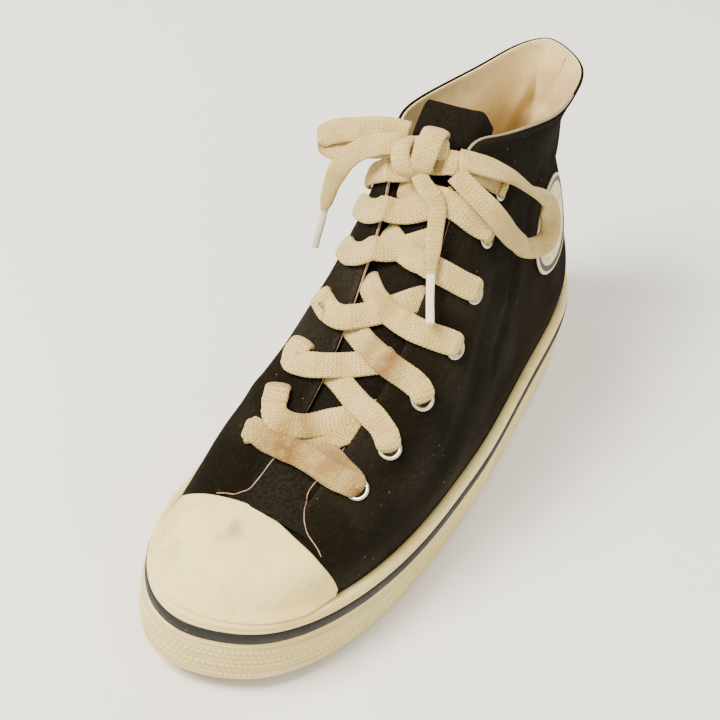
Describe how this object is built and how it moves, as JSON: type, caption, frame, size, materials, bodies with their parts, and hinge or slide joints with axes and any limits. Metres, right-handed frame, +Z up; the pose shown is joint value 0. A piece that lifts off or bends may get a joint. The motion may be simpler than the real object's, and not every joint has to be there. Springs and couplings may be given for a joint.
{
  "type": "canvas high-top sneaker",
  "caption": "Worn canvas high-top sneaker for the left foot, laced and tied, with rubber toe cap, banded rubber side wall and flat sole",
  "frame": {"origin": "on the floor under the middle of the sole", "axes": "+Z up, -Y to the toe, +Y to the heel, +X to the outer side of the left foot"},
  "size_m": [0.1025, 0.2727, 0.1541],
  "materials": {
    "rubber_cream": "aged cream rubber, satin, scuffed and marked at the toe",
    "rubber_charcoal": "worn charcoal rubber band, matte",
    "rubber_tan": "matte tan rubber tread",
    "lining": "natural cotton lining with ochre stains",
    "canvas_black": "washed-out black woven canvas, dusty and lightly creased",
    "patch": "thin aged disc with a dark ring, left plain",
    "lace_cotton": "fuzzy knitted flat cotton lace, stained",
    "eyelet_metal": "rolled eyelet ring, satin"
  },
  "bodies": {
    "root": {"outsole": "rubber_tan", "foxing": "rubber_cream", "stripe": "rubber_charcoal", "insole": "lining", "upper": "canvas_black", "toe_cap": "rubber_cream", "tongue": "canvas_black", "heel_strip": "canvas_black", "ankle_patch": "patch", "lace": "lace_cotton", "lace_knot": "lace_cotton", "lace_loop_outer": "lace_cotton", "lace_loop_inner": "lace_cotton", "lace_end_inner": "lace_cotton", "lace_end_outer": "lace_cotton", "eyelet_outer_1": "eyelet_metal", "eyelet_outer_2": "eyelet_metal", "eyelet_outer_3": "eyelet_metal", "eyelet_outer_4": "eyelet_metal", "eyelet_outer_5": "eyelet_metal", "eyelet_outer_6": "eyelet_metal", "eyelet_outer_7": "eyelet_metal", "eyelet_inner_1": "eyelet_metal", "eyelet_inner_2": "eyelet_metal", "eyelet_inner_3": "eyelet_metal", "eyelet_inner_4": "eyelet_metal", "eyelet_inner_5": "eyelet_metal", "eyelet_inner_6": "eyelet_metal", "eyelet_inner_7": "eyelet_metal"}
  },
  "joints": []
}
